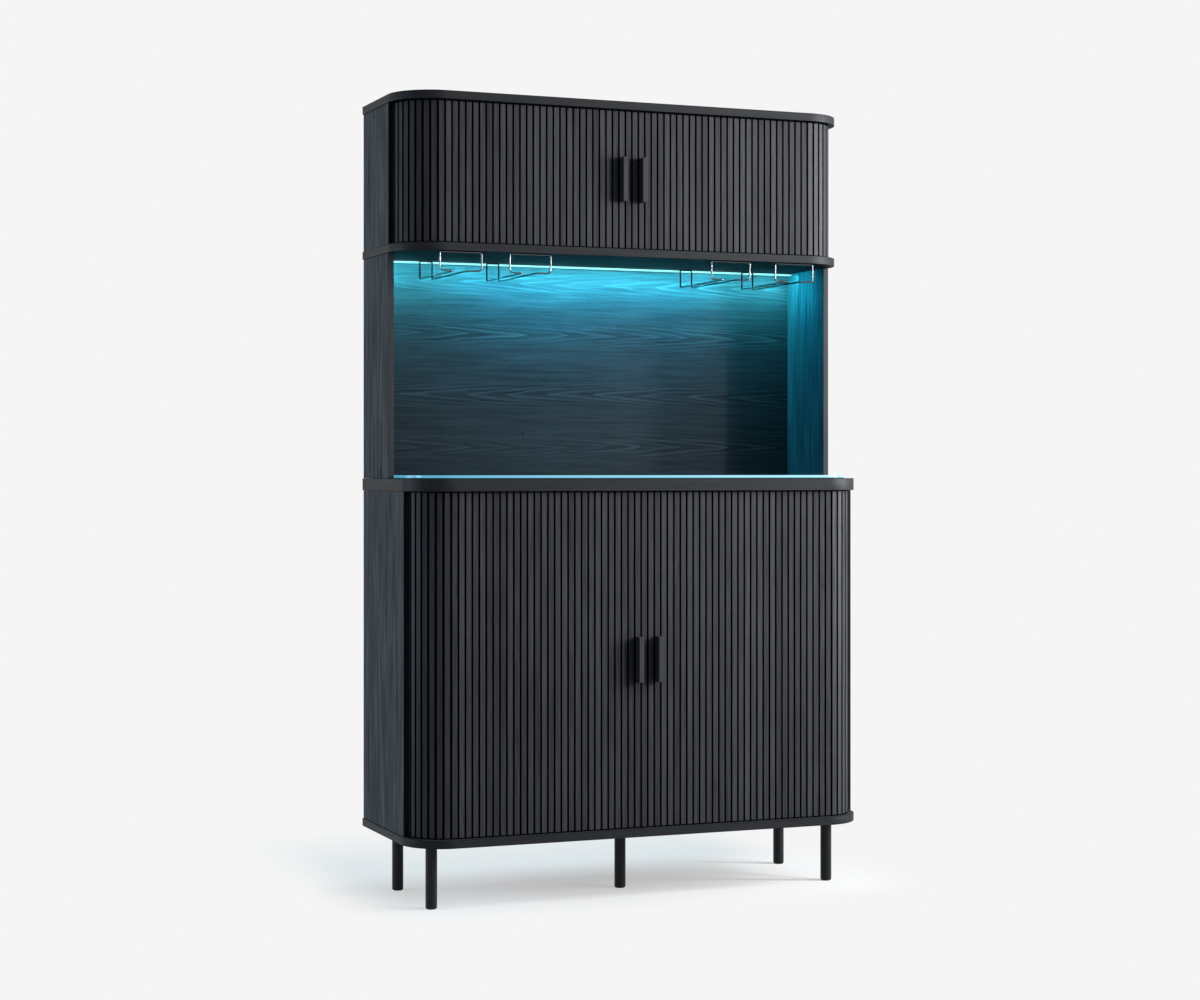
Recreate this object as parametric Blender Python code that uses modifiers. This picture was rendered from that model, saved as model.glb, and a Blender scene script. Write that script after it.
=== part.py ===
"""Bar cabinet with a tambour base, an open lit niche, a tambour top cabinet and five round legs.

Metres, +Z up, +Y to the rear, +X to the right. The origin is on the floor, under the middle of the part.
Plan offsets are counted inwards from the boards' edge: OUTER_FACE is where the slats' faces stand.
"""
import math

import bmesh
import bpy
from mathutils import Matrix, Vector

# Overall sizes
WIDTH = 1.200
LOWER_DEPTH = 0.430
UPPER_SETBACK = 0.100
HEIGHT = 1.957
LEG_HEIGHT = 0.155
BASE_THICK = 0.020
WORKTOP_TOP = 1.026
WORKTOP_THICK = 0.030
UPPER_CLEAR = 0.3435
SHELF_THICK = 0.020
TOP_THICK = 0.020
LOWER_CORNER = 0.104
UPPER_CORNER = 0.112
BOARD_EDGE = 0.001
GLASS_INSET = 0.025
GLASS_FROM_BACK = 0.007
GLASS_THICK = 0.008
GLASS_EDGE = 0.0008

# Panels
SIDE_INSET = 0.002
SIDE_THICK = 0.012
HUTCH_SIDE_THICK = 0.014
LOWER_SIDE_LEAD = 0.014
UPPER_SIDE_LAG = 0.002
BACK_THICK = 0.006
LINER_THICK = 0.012
LINER_OFFSET = 0.031
FALSE_BACK_THICK = 0.009
DIVIDER_THICK = 0.018
DIVIDER_SETBACK = 0.045
SHELF_PLY = 0.018
SHELF_ABOVE_BASE = 0.400
SEAT = 0.0003

# Tambour
OUTER_FACE = 0.015
SLAT_THICK = 0.010
BACKING = 0.0015
FLAT_LEFT_OVER = 0.010
SLAT_GAP = 0.0038
STILE_SLATS = 2
LOWER_FLAT_SLATS = 28
UPPER_FLAT_SLATS = 27
CORNER_SLATS = 11
TRACK_DEEP = 0.008
TRACK_PLAY = 0.0006
TRACK_REAR_RADIUS = 0.060
LOWER_TRACK_RUN = 0.250
UPPER_TRACK_RUN = 0.330
NODE_GAP = 0.0006
TONGUE = 0.006

# Handles
HANDLE_WIDTH = 0.012
HANDLE_DEEP = 0.025
HANDLE_TALL = 0.110
HANDLE_EDGE = 0.001
LOWER_HANDLE_RISE = 0.411
UPPER_HANDLE_RISE = 0.171

# Legs
LEG_RADIUS = 0.014
LEG_EDGE = 0.0015
STUD_RADIUS = 0.004
STUD_LONG = 0.014
INSERT_RADIUS = 0.007
INSERT_PLAY = 0.0003
LEG_FROM_SIDE = 0.072
LEG_FROM_FRONT = 0.093
LEG_FROM_REAR = 0.065
MIDDLE_LEG_AHEAD = 0.023

# Stemware racks
RACK_FROM_SIDE = (0.153, 0.331)
RACK_FROM_FRONT = 0.0125
RACK_FROM_REAR = 0.042
RACK_WIDTH = 0.106
RACK_SLOT = 0.032
RACK_DROP = 0.045
WIRE = 0.002
WIRE_BEND = 0.009
WIRE_TIGHT_BEND = 0.004

# Light
LED_FROM_REAR = 0.026
LED_WIDE = 0.012
LED_TALL = 0.0055
LED_LIP = 0.0022
LED_WALL = 0.0012
LED_STRIP_THICK = 0.0005
LED_END_GAP = 0.001
CONTROLLER = (0.120, 0.018, 0.040)
CONTROLLER_EDGE = 0.002
POWER_ABOVE_SHELF = 0.068
INLET_X = 0.120
INLET_RADIUS = 0.0076
INLET_FLANGE = 0.011
INLET_FLANGE_THICK = 0.003
INLET_SOCKET = 0.0028
INLET_WEB = 0.002

# Fineness of round shapes, and how far a cutter reaches past what it cuts
ARC_STEPS = 14
TURN_STEPS = 32
WIRE_STEPS = 4
SHARP_ANGLE = math.radians(35)
CUT_OVER = 0.004

HALF = WIDTH / 2
PROUD = HANDLE_DEEP - OUTER_FACE
Y_FRONT = PROUD - (LOWER_DEPTH + PROUD) / 2
Y_REAR = Y_FRONT + LOWER_DEPTH
BASE_TOP = LEG_HEIGHT + BASE_THICK
WORKTOP_BOTTOM = WORKTOP_TOP - WORKTOP_THICK
TOP_BOTTOM = HEIGHT - TOP_THICK
SHELF_TOP = TOP_BOTTOM - UPPER_CLEAR
SHELF_BOTTOM = SHELF_TOP - SHELF_THICK
UPPER_FRONT = Y_FRONT + UPPER_SETBACK
INNER_FACE = OUTER_FACE + SLAT_THICK
PITCH = (HALF - LOWER_CORNER - FLAT_LEFT_OVER) / LOWER_FLAT_SLATS
LOWER_TRACK_END = HALF - LOWER_TRACK_RUN
UPPER_TRACK_END = HALF - UPPER_TRACK_RUN

COLOURS = {
    "ash": ((0.030, 0.033, 0.037, 1), 0.0, 0.55),
    "ash_inside": ((0.038, 0.040, 0.043, 1), 0.0, 0.65),
    "black_metal": ((0.020, 0.021, 0.023, 1), 1.0, 0.40),
    "steel": ((0.62, 0.63, 0.65, 1), 1.0, 0.25),
    "aluminium": ((0.70, 0.71, 0.72, 1), 1.0, 0.35),
    "diffuser": ((0.90, 0.95, 0.97, 1), 0.0, 0.45),
    "glass": ((0.80, 0.92, 0.92, 1), 0.0, 0.05),
    "plastic": ((0.03, 0.03, 0.03, 1), 0.0, 0.50),
}

for old in list(bpy.data.objects):
    bpy.data.objects.remove(old, do_unlink=True)
parts = bpy.data.collections.new("bar_cabinet")
cutters = bpy.data.collections.new("bar_cabinet_cutters")
bpy.context.scene.collection.children.link(parts)
bpy.context.scene.collection.children.link(cutters)


def finish(obj, look):
    """Put a part in the cabinet's collection, with a material of its own."""
    for home in list(obj.users_collection):
        home.objects.unlink(obj)
    parts.objects.link(obj)
    colour, metal, rough = COLOURS[look]
    material = bpy.data.materials.new(obj.name)
    material.use_nodes = True
    shader = material.node_tree.nodes["Principled BSDF"]
    shader.inputs["Base Color"].default_value = colour
    shader.inputs["Metallic"].default_value = metal
    shader.inputs["Roughness"].default_value = rough
    obj.data.materials.clear()
    obj.data.materials.append(material)
    return obj


def make_cutter(obj):
    """Put a cutting body in the collection that isn't rendered."""
    for home in list(obj.users_collection):
        home.objects.unlink(obj)
    cutters.objects.link(obj)
    obj.hide_render = True
    obj.display_type = "WIRE"
    return obj


def smooth_round(obj):
    """Shade a turned or wire piece smooth, with its real edges kept sharp."""
    obj.data.shade_smooth()
    obj.data.set_sharp_from_angle(angle=SHARP_ANGLE)
    return obj


def box(name, x, y, z):
    """A box between pairs of limits, with its origin at its middle."""
    middle = [(a + b) / 2 for a, b in (x, y, z)]
    bpy.ops.mesh.primitive_cube_add(size=1, location=middle)
    obj = bpy.context.active_object
    obj.name = obj.data.name = name
    obj.data.transform(Matrix.Diagonal((x[1] - x[0], y[1] - y[0], z[1] - z[0], 1)))
    return obj


def converted(curve_object):
    """The mesh object that a curve object makes, welded shut."""
    bpy.context.view_layer.update()
    evaluated = curve_object.evaluated_get(bpy.context.evaluated_depsgraph_get())
    mesh = bpy.data.meshes.new_from_object(evaluated)
    mesh.name = curve_object.name
    bm = bmesh.new()
    bm.from_mesh(mesh)
    bmesh.ops.remove_doubles(bm, verts=bm.verts, dist=1e-6)
    bmesh.ops.dissolve_limit(bm, angle_limit=math.radians(0.5), verts=bm.verts, edges=bm.edges)
    bmesh.ops.recalc_face_normals(bm, faces=bm.faces)
    bm.to_mesh(mesh)
    bm.free()
    name = curve_object.name
    world = curve_object.matrix_world.copy()
    bpy.data.objects.remove(curve_object, do_unlink=True)
    obj = bpy.data.objects.new(name, mesh)
    obj.matrix_world = world
    bpy.context.scene.collection.objects.link(obj)
    return obj


def plate(name, outline, z, origin=(0, 0)):
    """A flat piece: a closed plan outline, filled and thickened between two heights."""
    curve = bpy.data.curves.new(name, "CURVE")
    curve.dimensions = "2D"
    curve.fill_mode = "BOTH"
    curve.extrude = (z[1] - z[0]) / 2
    spline = curve.splines.new("POLY")
    spline.points.add(len(outline) - 1)
    for point, (px, py) in zip(spline.points, outline):
        point.co = (px - origin[0], py - origin[1], 0, 1)
    spline.use_cyclic_u = True
    obj = bpy.data.objects.new(name, curve)
    obj.location = (origin[0], origin[1], (z[0] + z[1]) / 2)
    bpy.context.scene.collection.objects.link(obj)
    return converted(obj)


def turned(name, profile, location, steps=TURN_STEPS):
    """A turned piece: profile points (radius, height) from the top down, spun about the upright axis."""
    closed = profile[0][0] > 0
    count = len(profile)
    edges = [(i, i + 1) for i in range(count - 1)]
    if closed:
        edges.append((count - 1, 0))
    mesh = bpy.data.meshes.new(name)
    mesh.from_pydata([(r, 0, h) for r, h in profile], edges, [])
    obj = bpy.data.objects.new(name, mesh)
    obj.location = location
    bpy.context.scene.collection.objects.link(obj)
    screw = obj.modifiers.new("Turn", "SCREW")
    screw.steps = steps
    screw.render_steps = steps
    screw.use_merge_vertices = True
    screw.merge_threshold = 0.00005
    return obj


def cut(obj, tool):
    """Take a cutter away from a part."""
    boolean = obj.modifiers.new("Cut", "BOOLEAN")
    boolean.operation = "DIFFERENCE"
    boolean.solver = "EXACT"
    boolean.object = tool


def soften(obj, width, segments=1):
    """Break a part's edges."""
    bevel = obj.modifiers.new("Edges", "BEVEL")
    bevel.width = width
    bevel.segments = segments
    bevel.limit_method = "ANGLE"
    bevel.angle_limit = SHARP_ANGLE


def corner_arc(offset, corner, front, side, a0=0.0, a1=90.0, steps=ARC_STEPS):
    """Points round a front corner at an offset from the boards' edge; 0 degrees faces the front."""
    centre = (HALF - corner, front + corner)
    radius = corner - offset
    points = []
    for i in range(steps + 1):
        a = math.radians(a0 + (a1 - a0) * i / steps)
        points.append((side * (centre[0] + radius * math.sin(a)), centre[1] - radius * math.cos(a)))
    return points


def board_outline(front, corner, inset=0.0, rear=Y_REAR):
    """A board's plan: round front corners and square rear ones, inset from the boards' edge."""
    right = corner_arc(inset, corner, front, 1)
    left = corner_arc(inset, corner, front, -1)
    reach = HALF - inset
    return [(-reach, rear)] + left[::-1] + right + [(reach, rear)]


def track_line(offset, front, corner, end):
    """One wall of the curtains' track, from its left end, round the front, to its right end."""
    right = corner_arc(offset, corner, front, 1)
    radius = TRACK_REAR_RADIUS - (offset - OUTER_FACE)
    centre = (HALF - OUTER_FACE - TRACK_REAR_RADIUS, Y_REAR - OUTER_FACE - TRACK_REAR_RADIUS)
    for i in range(ARC_STEPS + 1):
        a = math.radians(90.0 * i / ARC_STEPS)
        right.append((centre[0] + radius * math.cos(a), centre[1] + radius * math.sin(a)))
    right.append((end, Y_REAR - offset))
    left = [(-px, py) for px, py in right]
    return left[::-1] + right


def track_outline(front, corner, end):
    """The plan of the groove that the curtains run in."""
    outer = track_line(OUTER_FACE - TRACK_PLAY, front, corner, end)
    inner = track_line(INNER_FACE + TRACK_PLAY, front, corner, end)
    return outer + inner[::-1]


def board(name, front, corner, z, end, groove_up, groove_down=False):
    """A grooved board; its groove opens upwards, downwards or neither."""
    obj = plate(name, board_outline(front, corner), z)
    soften(obj, BOARD_EDGE)
    if groove_up:
        reach = (z[1] - TRACK_DEEP, z[1] + CUT_OVER)
        tool = plate(name + "_track", track_outline(front, corner, end), reach)
        cut(obj, make_cutter(tool))
    if groove_down:
        reach = (z[0] - CUT_OVER, z[0] + TRACK_DEEP)
        tool = plate(name + "_track", track_outline(front, corner, end), reach)
        cut(obj, make_cutter(tool))
    return finish(obj, "ash")


def flat_comb(side, first, last, front):
    """Plan of slats on their backing along the flat front, from groove number first to last."""
    face = front + OUTER_FACE
    bed = front + INNER_FACE - BACKING
    back = front + INNER_FACE
    low = first * PITCH + NODE_GAP / 2
    high = last * PITCH - NODE_GAP / 2
    points = [(low, back)]
    for i in range(first, last):
        a = i * PITCH + SLAT_GAP / 2
        b = (i + 1) * PITCH - SLAT_GAP / 2
        if i == first:
            points.append((low, bed))
        points += [(a, bed), (a, face), (b, face), (b, bed)]
    points += [(high, bed), (high, back)]
    return [(side * px, py) for px, py in points]


def corner_comb(side, first, slats, front, corner):
    """Plan of slats on their backing from the flat front, round the corner and on along the side."""
    start = HALF - corner
    middle = corner - OUTER_FACE - SLAT_THICK / 2
    bend = middle * math.pi / 2

    def place(s, offset):
        """A point at path length s from the seam, at an offset from the boards' edge."""
        if s <= start:
            return (s, front + offset)
        if s <= start + bend:
            a = (s - start) / middle
            radius = corner - offset
            return (start + radius * math.sin(a), front + corner - radius * math.cos(a))
        return (HALF - offset, front + corner + s - start - bend)

    bed = INNER_FACE - BACKING
    s0 = first * PITCH
    low = s0 + NODE_GAP / 2
    high = s0 + slats * PITCH - NODE_GAP / 2
    points = [place(low, bed)]
    for i in range(slats):
        a = s0 + i * PITCH + SLAT_GAP / 2
        b = s0 + (i + 1) * PITCH - SLAT_GAP / 2
        points += [place(a, bed), place(a, OUTER_FACE), place(b, OUTER_FACE), place(b, bed)]
    points.append(place(high, bed))
    inner = []
    for i in range(slats * 2 + 1):
        inner.append(place(low + (high - low) * i / (slats * 2), INNER_FACE))
    points += inner[::-1]
    return [(side * px, py) for px, py in points]


def tambour(level, front, corner, flat_slats, z, handle_rise):
    """Both doors of one cabinet: leading stile, handle, flat curtain and the part round the corner."""
    tall = (z[0] - TONGUE, z[1] + TONGUE)
    handle_mid = z[0] + handle_rise
    for side, word in ((-1, "left"), (1, "right")):
        name = level + "_" + word
        middle = side * STILE_SLATS * PITCH / 2
        stile = plate(name + "_stile", flat_comb(side, 0, STILE_SLATS, front), tall,
                      (middle, front + OUTER_FACE + SLAT_THICK / 2))
        finish(stile, "ash")
        handle_x = side * (STILE_SLATS - 0.5) * PITCH
        handle = box(name + "_handle",
                     (handle_x - HANDLE_WIDTH / 2, handle_x + HANDLE_WIDTH / 2),
                     (front + OUTER_FACE - HANDLE_DEEP, front + OUTER_FACE - SEAT),
                     (handle_mid - HANDLE_TALL / 2, handle_mid + HANDLE_TALL / 2))
        soften(handle, HANDLE_EDGE, 2)
        finish(handle, "black_metal")
        curtain = plate(name + "_curtain", flat_comb(side, STILE_SLATS, flat_slats, front), tall)
        finish(curtain, "ash")
        bend = plate(name + "_corner", corner_comb(side, flat_slats, CORNER_SLATS, front, corner), tall)
        finish(bend, "ash")


def filleted(corners, steps=WIRE_STEPS):
    """A closed wire path through corners (x, y, z, radius), each rounded to its radius."""
    path = []
    count = len(corners)
    for i in range(count):
        here = Vector(corners[i][:3])
        radius = corners[i][3]
        before = (Vector(corners[i - 1][:3]) - here).normalized()
        after = (Vector(corners[(i + 1) % count][:3]) - here).normalized()
        start = here + before * radius
        stop = here + after * radius
        centre = start + after * radius
        for k in range(steps + 1):
            a = math.pi / 2 * k / steps
            path.append(centre + (start - centre) * math.cos(a) + (stop - centre) * math.sin(a))
    return path


def rack(name, x):
    """A stemware rack: one closed wire with a front hoop and two rails that turn up at the rear."""
    top = SHELF_BOTTOM - WIRE - SEAT
    low = top - RACK_DROP
    near = UPPER_FRONT + RACK_FROM_FRONT
    far = Y_REAR - RACK_FROM_REAR
    wide = RACK_WIDTH / 2
    slot = RACK_SLOT / 2
    tight = WIRE_TIGHT_BEND
    corners = [
        (x - wide, near, top, tight), (x + wide, near, top, tight), (x + wide, near, low, WIRE_BEND),
        (x + slot, near, low, WIRE_BEND), (x + slot, far, low, tight), (x + slot, far, top, tight),
        (x - slot, far, top, tight), (x - slot, far, low, tight), (x - slot, near, low, WIRE_BEND),
        (x - wide, near, low, WIRE_BEND),
    ]
    path = filleted(corners)
    curve = bpy.data.curves.new(name, "CURVE")
    curve.dimensions = "3D"
    curve.bevel_depth = WIRE
    curve.bevel_resolution = 2
    curve.twist_mode = "MINIMUM"
    spline = curve.splines.new("POLY")
    spline.points.add(len(path) - 1)
    for point, place in zip(spline.points, path):
        point.co = (place.x, place.y, place.z, 1)
    spline.use_cyclic_u = True
    obj = bpy.data.objects.new(name, curve)
    bpy.context.scene.collection.objects.link(obj)
    finish(smooth_round(converted(obj)), "steel")


# Boards, from the floor up
base = board("base_board", Y_FRONT, LOWER_CORNER, (LEG_HEIGHT, BASE_TOP), LOWER_TRACK_END, True)
board("worktop", Y_FRONT, LOWER_CORNER, (WORKTOP_BOTTOM, WORKTOP_TOP), LOWER_TRACK_END, False, True)
board("shelf_board", UPPER_FRONT, UPPER_CORNER, (SHELF_BOTTOM, SHELF_TOP), UPPER_TRACK_END, True)
board("top_board", UPPER_FRONT, UPPER_CORNER, (TOP_BOTTOM, HEIGHT), UPPER_TRACK_END, False, True)

# Glass that lies on the worktop and runs in between the niche's side panels
glass_rear = Y_REAR - SIDE_INSET - BACK_THICK - GLASS_FROM_BACK
glass_low = WORKTOP_TOP + SEAT
glass = plate("worktop_glass", board_outline(Y_FRONT, LOWER_CORNER, GLASS_INSET, glass_rear),
              (glass_low, glass_low + GLASS_THICK))
soften(glass, GLASS_EDGE)
finish(glass, "glass")

# Legs, each with a stud in a threaded insert that is let into the base board
leg_side = HALF - LEG_FROM_SIDE
leg_front = Y_FRONT + LEG_FROM_FRONT
leg_rear = Y_REAR - LEG_FROM_REAR
leg_middle = (Y_FRONT + Y_REAR) / 2 - MIDDLE_LEG_AHEAD
leg_top = LEG_HEIGHT - SEAT
stud_top = leg_top + STUD_LONG
for word, leg_x, leg_y in (
        ("front_left", -leg_side, leg_front), ("front_right", leg_side, leg_front),
        ("rear_left", -leg_side, leg_rear), ("rear_right", leg_side, leg_rear),
        ("middle", 0.0, leg_middle)):
    place = (leg_x, leg_y, 0)
    leg = turned("leg_" + word, [
        (0, stud_top), (STUD_RADIUS, stud_top), (STUD_RADIUS, leg_top), (LEG_RADIUS, leg_top),
        (LEG_RADIUS, LEG_EDGE), (LEG_RADIUS - LEG_EDGE, 0), (0, 0)], place)
    finish(smooth_round(leg), "black_metal")
    low = LEG_HEIGHT + SEAT
    high = stud_top + SEAT
    bore = STUD_RADIUS + INSERT_PLAY
    sleeve = [(bore, high), (INSERT_RADIUS, high), (INSERT_RADIUS, low), (bore, low)]
    insert = turned("insert_" + word, sleeve, place)
    finish(smooth_round(insert), "steel")
    bpy.ops.mesh.primitive_cylinder_add(
        vertices=TURN_STEPS, radius=INSERT_RADIUS + INSERT_PLAY, depth=2 * (high + SEAT - LEG_HEIGHT),
        location=(place[0], place[1], LEG_HEIGHT))
    hole = bpy.context.active_object
    hole.name = "hole_" + word
    cut(base, make_cutter(hole))

# Side panels
for side, word in ((-1, "left"), (1, "right")):
    outer = HALF - SIDE_INSET
    lower_start = Y_FRONT + LOWER_CORNER - LOWER_SIDE_LEAD
    upper_start = UPPER_FRONT + UPPER_CORNER + UPPER_SIDE_LAG
    for level, thick, start, z in (
            ("lower", SIDE_THICK, lower_start, (BASE_TOP, WORKTOP_BOTTOM)),
            ("hutch", HUTCH_SIDE_THICK, upper_start, (WORKTOP_TOP, SHELF_BOTTOM)),
            ("upper", SIDE_THICK, upper_start, (SHELF_TOP, TOP_BOTTOM))):
        limits = sorted((side * (outer - thick), side * outer))
        panel = box(f"{level}_side_{word}", limits, (start, Y_REAR - SIDE_INSET),
                    (z[0] + SEAT, z[1] - SEAT))
        finish(panel, "ash")

# Backs, between the side panels
for level, thick, z in (
        ("lower", SIDE_THICK, (BASE_TOP, WORKTOP_BOTTOM)),
        ("hutch", HUTCH_SIDE_THICK, (WORKTOP_TOP, SHELF_BOTTOM)),
        ("upper", SIDE_THICK, (SHELF_TOP, TOP_BOTTOM))):
    reach = HALF - SIDE_INSET - thick - SEAT
    rear = Y_REAR - SIDE_INSET
    panel = box(level + "_back", (-reach, reach), (rear - BACK_THICK, rear), (z[0] + SEAT, z[1] - SEAT))
    finish(panel, "ash")
    if level == "upper":
        upper_back = panel

# Liners, false backs, dividers and shelves, which keep what is stored clear of the curtains
false_front = Y_REAR - LINER_OFFSET - FALSE_BACK_THICK
liner_inner = HALF - LINER_OFFSET - LINER_THICK
for level, front, corner, z in (
        ("lower", Y_FRONT, LOWER_CORNER, (BASE_TOP, WORKTOP_BOTTOM)),
        ("upper", UPPER_FRONT, UPPER_CORNER, (SHELF_TOP, TOP_BOTTOM))):
    span = (z[0] + SEAT, z[1] - SEAT)
    for side, word in ((-1, "left"), (1, "right")):
        limits = sorted((side * liner_inner, side * (liner_inner + LINER_THICK)))
        liner = box(f"{level}_liner_{word}", limits, (front + corner, false_front - SEAT), span)
        finish(liner, "ash_inside")
    reach = liner_inner + LINER_THICK - TRACK_REAR_RADIUS
    false_rear = false_front + FALSE_BACK_THICK
    false_back = box(level + "_false_back", (-reach, reach), (false_front, false_rear), span)
    finish(false_back, "ash_inside")
    divider = box(level + "_divider", (-DIVIDER_THICK / 2, DIVIDER_THICK / 2),
                  (front + DIVIDER_SETBACK, false_front - SEAT), span)
    finish(divider, "ash_inside")
shelf_low = BASE_TOP + SHELF_ABOVE_BASE
for side, word in ((-1, "left"), (1, "right")):
    limits = sorted((side * (DIVIDER_THICK / 2 + SEAT), side * (liner_inner - SEAT)))
    shelf = box("inner_shelf_" + word, limits, (Y_FRONT + LOWER_CORNER, false_front - SEAT),
                (shelf_low, shelf_low + SHELF_PLY))
    finish(shelf, "ash_inside")

# Tambour doors
lower_opening = (BASE_TOP, WORKTOP_BOTTOM)
upper_opening = (SHELF_TOP, TOP_BOTTOM)
tambour("lower", Y_FRONT, LOWER_CORNER, LOWER_FLAT_SLATS, lower_opening, LOWER_HANDLE_RISE)
tambour("upper", UPPER_FRONT, UPPER_CORNER, UPPER_FLAT_SLATS, upper_opening, UPPER_HANDLE_RISE)

# Stemware racks under the shelf board
outer_rack, inner_rack = (HALF - reach for reach in RACK_FROM_SIDE)
for number, rack_x in enumerate((-outer_rack, -inner_rack, inner_rack, outer_rack)):
    rack(f"rack_{number + 1}", rack_x)

# Light: a shallow channel open downwards, the strip in it, and an opal bar below that glows all round
reach = HALF - SIDE_INSET - HUTCH_SIDE_THICK - LED_END_GAP
led_y = Y_REAR - LED_FROM_REAR
led_top = SHELF_BOTTOM - SEAT
led_lip = led_top - LED_LIP
half_wide = LED_WIDE / 2
led_span = (led_y - half_wide, led_y + half_wide)
channel = box("led_channel", (-reach, reach), led_span, (led_lip, led_top))
hollow = half_wide - LED_WALL
tool = box("led_channel_hollow", (-reach - CUT_OVER, reach + CUT_OVER), (led_y - hollow, led_y + hollow),
           (led_lip - CUT_OVER, led_top - LED_WALL))
cut(channel, make_cutter(tool))
finish(channel, "aluminium")
inside = (led_y - hollow + SEAT, led_y + hollow - SEAT)
strip_top = led_top - LED_WALL - SEAT
strip = box("led_strip", (-reach, reach), inside, (strip_top - LED_STRIP_THICK, strip_top))
finish(strip, "plastic")
diffuser = box("led_diffuser", (-reach, reach), led_span, (led_top - LED_TALL, led_lip - SEAT))
finish(diffuser, "diffuser")

# Power: the controller and its inlet, on the upper back and behind the false back
power_wall = Y_REAR - SIDE_INSET - BACK_THICK - SEAT
power_z = SHELF_TOP + POWER_ABOVE_SHELF
wide, deep, tall = CONTROLLER
controller = box("led_controller", (-wide / 2, wide / 2), (power_wall - deep, power_wall),
                 (power_z - tall / 2, power_z + tall / 2))
soften(controller, CONTROLLER_EDGE)
finish(controller, "plastic")
rear_face = -BACK_THICK - SEAT
inlet = turned("power_inlet", [
    (0, INLET_FLANGE_THICK), (INLET_FLANGE, INLET_FLANGE_THICK), (INLET_FLANGE, 0), (INLET_RADIUS, 0),
    (INLET_RADIUS, rear_face), (INLET_SOCKET, rear_face), (INLET_SOCKET, -INLET_WEB), (0, -INLET_WEB)],
    (INLET_X, power_wall, power_z), TURN_STEPS)
inlet.rotation_euler = (math.radians(90), 0, 0)
finish(smooth_round(inlet), "plastic")
bpy.ops.mesh.primitive_cylinder_add(
    vertices=TURN_STEPS, radius=INLET_RADIUS + SEAT, depth=2 * (SIDE_INSET + BACK_THICK + CUT_OVER),
    location=(INLET_X, Y_REAR, power_z), rotation=(math.radians(90), 0, 0))
hole = bpy.context.active_object
hole.name = "hole_inlet"
cut(upper_back, make_cutter(hole))
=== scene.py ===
import math

import bmesh
import bpy
from mathutils import Matrix, Vector


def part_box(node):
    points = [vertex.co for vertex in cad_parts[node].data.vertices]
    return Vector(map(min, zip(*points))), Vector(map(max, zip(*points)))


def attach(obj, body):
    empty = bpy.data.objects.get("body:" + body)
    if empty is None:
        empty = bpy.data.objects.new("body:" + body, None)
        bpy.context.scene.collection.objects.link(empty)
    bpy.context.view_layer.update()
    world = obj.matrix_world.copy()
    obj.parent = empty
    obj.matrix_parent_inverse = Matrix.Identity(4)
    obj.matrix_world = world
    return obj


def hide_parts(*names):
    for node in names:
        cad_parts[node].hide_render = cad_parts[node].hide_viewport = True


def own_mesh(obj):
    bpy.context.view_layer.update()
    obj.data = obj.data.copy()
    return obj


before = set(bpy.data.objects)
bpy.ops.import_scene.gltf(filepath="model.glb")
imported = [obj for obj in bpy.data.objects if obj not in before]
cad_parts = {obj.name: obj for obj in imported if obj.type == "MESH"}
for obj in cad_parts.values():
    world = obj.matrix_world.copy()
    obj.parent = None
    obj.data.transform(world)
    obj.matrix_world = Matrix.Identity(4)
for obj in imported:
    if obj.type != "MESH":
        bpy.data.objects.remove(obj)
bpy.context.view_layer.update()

# Base board
# The lower cabinet stands on this 20 mm board, veneered in black-stained ash with a veneer lipping.
# Its front corners are round, and a groove routed round its top guides the curtains. It is carried on
# five legs, and the carcass is doweled to it.

HALF_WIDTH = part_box("base_board")[1].x
BOARD_ARRIS = 0.001
LOWER_CORNER = 0.104
FACE_DEPTH = 0.015
SLAT_DEPTH = 0.010
TRACK_PLAY = 0.0006
TRACK_DEEP = 0.008
TRACK_REAR_RADIUS = 0.060
CUTTER_PAST = 0.01
LEAF = 0.140
# How far along and across the log the next piece's veneer lies, and where in a leaf a lipping begins
LOG_ALONG = 0.37
LOG_ACROSS = 7.0 * LEAF
LIPPING_PLACE = 0.33 * LEAF
# An unset strip is wider than any piece, and an unset knot lies far off it
UNSET = 1000.0
# Faces over this area, in square metres, are shaded flat, and the inside of a track is over the next one
BROAD = 0.001
TRACK_INSIDE = 0.2
TOUCH = 1e-6


def place_node(tree, kind, values=None, **settings):
    """Place a shader node. Values go to its sockets by name or number: a number, a colour or an output."""
    node = tree.nodes.new(kind)
    for name, setting in settings.items():
        setattr(node, name, setting)
    for name, value in (values or {}).items():
        if isinstance(value, bpy.types.NodeSocket):
            tree.links.new(value, node.inputs[name])
        else:
            node.inputs[name].default_value = value
    return node


def reckon(tree, operation, *values):
    """One Math node's output."""
    return place_node(tree, "ShaderNodeMath", dict(enumerate(values)), operation=operation).outputs[0]


def ramp(tree, value, none, full):
    """A smooth step from 0, where the value is none, to 1, where it is full."""
    values = {"Value": value, "From Min": none, "From Max": full}
    return place_node(tree, "ShaderNodeMapRange", values, interpolation_type="SMOOTHSTEP").outputs[0]


def blend(tree, share, first, second):
    """A mix of two colours, each a colour or an output."""
    return place_node(tree, "ShaderNodeMix", {0: share, 6: first, 7: second}, data_type="RGBA").outputs[2]


def split_place(tree, place):
    """A place's x, y and z."""
    return place_node(tree, "ShaderNodeSeparateXYZ", {0: place}).outputs


def stretched_noise(tree, x, y, z, detail=2.0, rough=0.5):
    """Noise on a place given by three numbers or outputs, which are in the noise's own cells."""
    place = place_node(tree, "ShaderNodeCombineXYZ", {0: x, 1: y, 2: z}).outputs[0]
    values = {"Vector": place, "Scale": 1.0, "Detail": detail, "Roughness": rough}
    return place_node(tree, "ShaderNodeTexNoise", values).outputs["Fac"]


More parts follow.
